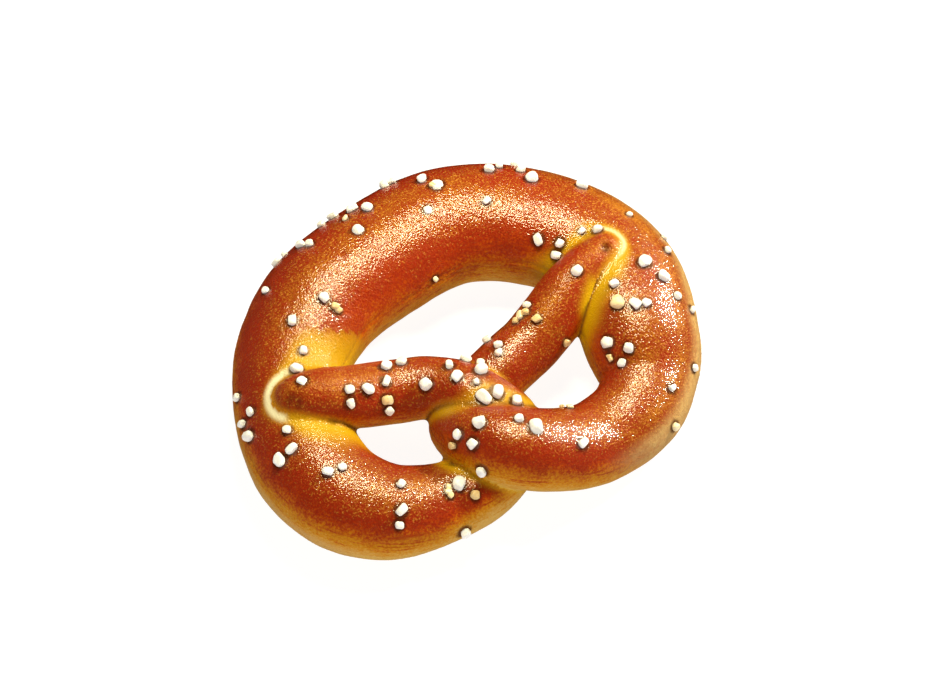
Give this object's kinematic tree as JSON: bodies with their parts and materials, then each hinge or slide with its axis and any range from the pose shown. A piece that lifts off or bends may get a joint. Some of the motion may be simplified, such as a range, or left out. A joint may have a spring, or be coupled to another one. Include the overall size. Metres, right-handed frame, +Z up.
{
  "type": "soft pretzel",
  "caption": "Soft baked pretzel: one rope of dough, fat at the belly, its arms twisted and laid back over the loop; brown lye crust with coarse salt",
  "frame": {"origin": "under the middle of the pretzel's box, on the surface it rests on", "axes": "+X along the pretzel's width, from the left lobe to the right one, +Y from the twist towards the belly, +Z up"},
  "size_m": [0.1406, 0.1158, 0.0289],
  "materials": {
    "crust": "glossy lye-browned crust, fine pebbled, paler yellow where the dough stretched",
    "salt": "off-white coarse salt grains, some yellowed by the glaze"
  },
  "bodies": {
    "root": {"pretzel": "crust"}
  },
  "joints": []
}
